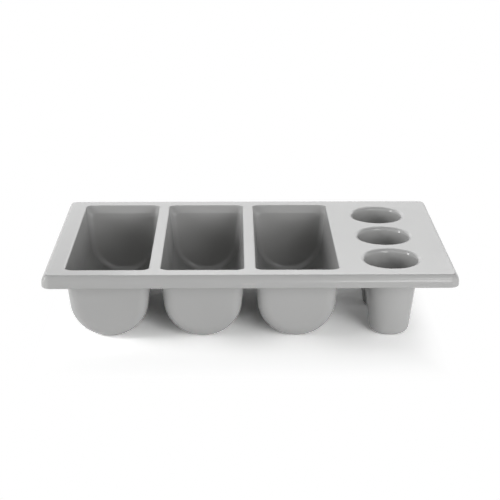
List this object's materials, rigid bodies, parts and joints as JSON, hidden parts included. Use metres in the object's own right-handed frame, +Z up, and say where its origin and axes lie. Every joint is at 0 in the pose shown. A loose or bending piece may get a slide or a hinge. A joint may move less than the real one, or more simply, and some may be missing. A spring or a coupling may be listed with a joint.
{
  "type": "cutlery tray",
  "caption": "Moulded cutlery tray for a full-size gastronorm well: long round-bottomed bins and tapered cups under a flat deck with a turned-down lip.",
  "frame": {"origin": "under the middle of the tray, on the plane it stands on", "axes": "+X along the long side towards the cups, +Y away from the user across the tray, +Z up"},
  "size_m": [0.53, 0.325, 0.1],
  "materials": {
    "grey_plastic": "satin, fine moulded grain"
  },
  "bodies": {
    "root": {"deck": "grey_plastic", "rim_lip": "grey_plastic", "bin_left": "grey_plastic", "bin_middle": "grey_plastic", "bin_right": "grey_plastic", "cup_back": "grey_plastic", "cup_middle": "grey_plastic", "cup_front": "grey_plastic"}
  },
  "joints": []
}
